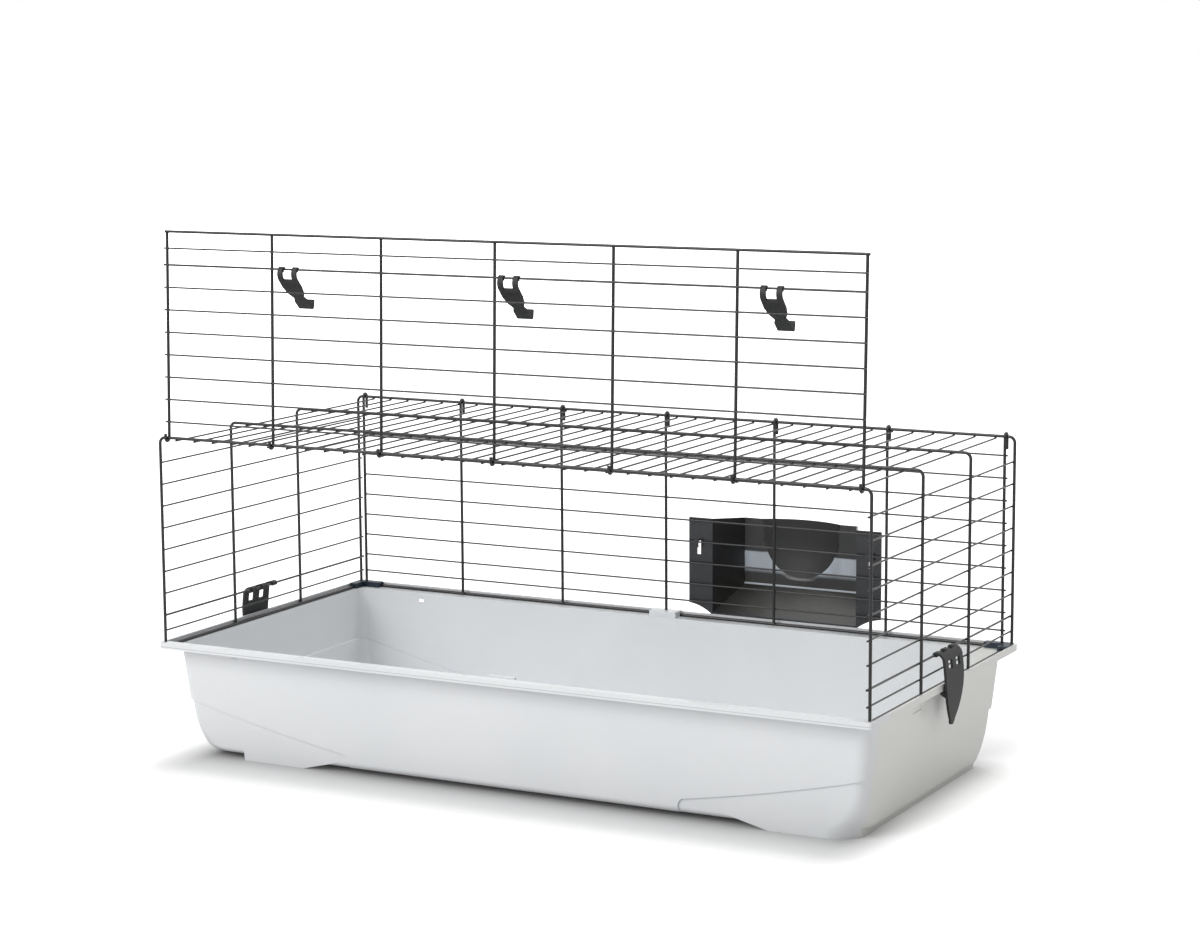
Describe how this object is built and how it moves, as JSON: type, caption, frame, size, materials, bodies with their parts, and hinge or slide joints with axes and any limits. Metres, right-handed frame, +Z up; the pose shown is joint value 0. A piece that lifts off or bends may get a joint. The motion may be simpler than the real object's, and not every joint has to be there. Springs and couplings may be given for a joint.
{
  "type": "rabbit hutch",
  "caption": "Indoor hutch for a rabbit: wire canopy with a lift-up front on a deep moulded tray, held by clips, with a hay feeder hung on the back.",
  "frame": {"origin": "middle of the overall box, on the floor under the feet", "axes": "+X along the length to the right of a person facing the lift-up front, +Y from that front to the back, +Z up"},
  "size_m": [1.0268, 0.5654, 0.6996],
  "materials": {
    "tray_plastic": "satin",
    "wire": "gloss",
    "cap_plastic": "satin",
    "feeder_plastic": "gloss",
    "clip_plastic": "matte"
  },
  "bodies": {
    "cage": {"tray": "tray_plastic", "end_frame_left": "wire", "end_rows_left": "wire", "end_frame_right": "wire", "end_rows_right": "wire", "roof_stringers": "wire", "roof_bars": "wire", "rear_uprights": "wire", "rear_rows": "wire", "corner_cap_left": "cap_plastic", "corner_cap_right": "cap_plastic"},
    "front_panel": {"panel_uprights": "wire", "panel_rows": "wire"},
    "hay_feeder": {"hay_feeder": "feeder_plastic"},
    "side_clip_left": {"side_clip_left": "clip_plastic"},
    "side_clip_right": {"side_clip_right": "clip_plastic"},
    "front_clip_left": {"front_clip_left": "clip_plastic"},
    "front_clip_middle": {"front_clip_middle": "clip_plastic"},
    "front_clip_right": {"front_clip_right": "clip_plastic"}
  },
  "joints": [
    {"name": "front_panel_swing", "type": "hinge", "parent": "cage", "child": "front_panel", "pos_m": [0, -0.2753, 0.4296], "axis": [1, 0, 0], "range_deg": [-65, 181.6]},
    {"name": "side_clip_left_swing", "type": "hinge", "parent": "cage", "child": "side_clip_left", "pos_m": [-0.49758, -0.0527, 0.1937], "axis": [0, 1, 0], "range_deg": [0, 100]},
    {"name": "side_clip_right_swing", "type": "hinge", "parent": "cage", "child": "side_clip_right", "pos_m": [0.49758, -0.0317, 0.1937], "axis": [0, -1, 0], "range_deg": [0, 100]},
    {"name": "hay_feeder_lift", "type": "slide", "parent": "cage", "child": "hay_feeder", "axis": [0, 0, 1], "range_m": [0, 0.014]},
    {"name": "front_clip_left_swing", "type": "hinge", "parent": "front_panel", "child": "front_clip_left", "pos_m": [-0.2984, -0.26837, 0.65489], "axis": [1, 0, 0], "range_deg": [0, 133]},
    {"name": "front_clip_middle_swing", "type": "hinge", "parent": "front_panel", "child": "front_clip_middle", "pos_m": [0.0223, -0.26837, 0.65489], "axis": [1, 0, 0], "range_deg": [0, 133]},
    {"name": "front_clip_right_swing", "type": "hinge", "parent": "front_panel", "child": "front_clip_right", "pos_m": [0.3725, -0.26837, 0.65489], "axis": [1, 0, 0], "range_deg": [0, 133]}
  ]
}
